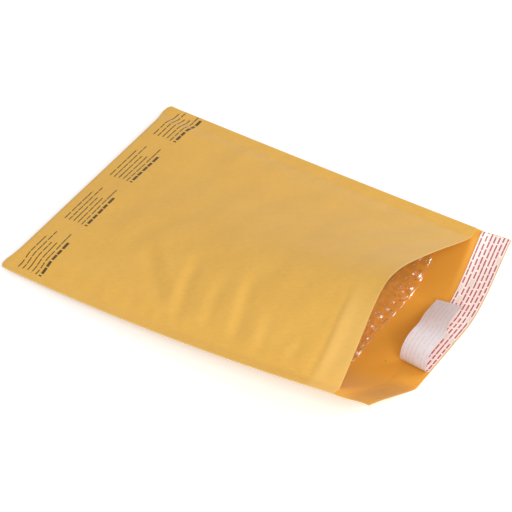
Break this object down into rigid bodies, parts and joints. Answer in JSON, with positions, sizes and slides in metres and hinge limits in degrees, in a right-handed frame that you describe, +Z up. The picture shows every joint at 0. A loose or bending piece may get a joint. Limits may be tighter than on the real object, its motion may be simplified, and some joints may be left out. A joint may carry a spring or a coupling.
{
  "type": "padded envelope",
  "caption": "Kraft paper mailing envelope with a bubble film lining and sealed sides, lying open at the mouth, its flap's release liner partly peeled and bent back.",
  "frame": {"origin": "bottom centre of the bounding box, on the surface that the back panel lies on", "axes": "+X along the mailer from the closed fold to the flap, +Y across it, +Z up out of the front panel"},
  "size_m": [0.3474, 0.235, 0.0858],
  "materials": {
    "kraft_paper": "golden brown kraft, matte with a faint sheen",
    "bubble_film": "clear air-bubble film",
    "hot_melt_glue": "clear amber glue, satin",
    "printed_liner": "white silicone paper with red dashes on its outer face"
  },
  "bodies": {
    "root": {"kraft_envelope": "kraft_paper", "bubble_lining": "bubble_film", "adhesive_strip": "hot_melt_glue", "release_liner": "printed_liner"}
  },
  "joints": []
}
